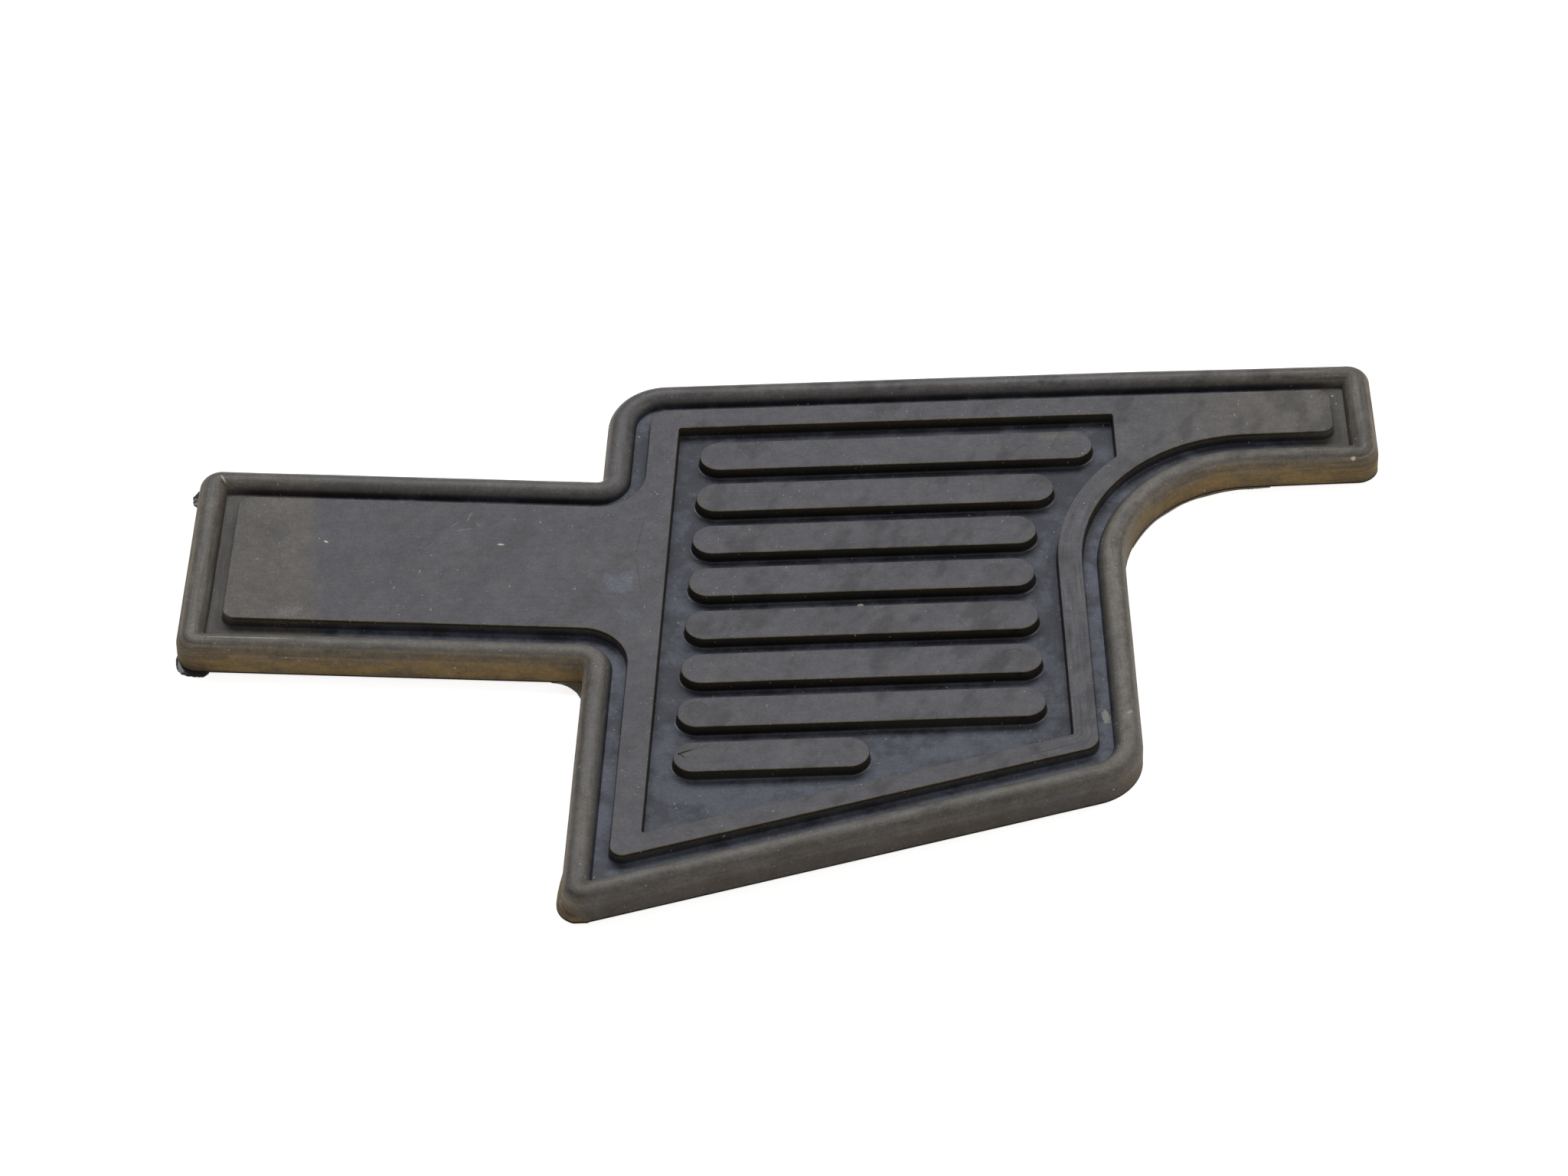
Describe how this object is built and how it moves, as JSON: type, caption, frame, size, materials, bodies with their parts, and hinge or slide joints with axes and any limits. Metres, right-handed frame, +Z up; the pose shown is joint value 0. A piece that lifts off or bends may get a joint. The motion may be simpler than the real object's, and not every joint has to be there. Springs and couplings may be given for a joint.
{
  "type": "foot pedal tread plate",
  "caption": "Flat ribbed rubber foot pedal pad with a tongue to one side and a curved arm to the other, rimmed by a rounded bead and backed by a steel plate.",
  "frame": {"origin": "middle of the flat underside", "axes": "+X along the ribs towards the arm, +Y towards the far edge, away from the user, +Z up through the ribbed tread"},
  "size_m": [0.24, 0.143, 0.007],
  "materials": {
    "pad_rubber": "matt black moulding rubber, dusty and lightly scuffed",
    "plate_steel": "dull rolled steel sheet"
  },
  "bodies": {
    "root": {"tread_pad": "pad_rubber", "backing_plate": "plate_steel"}
  },
  "joints": []
}
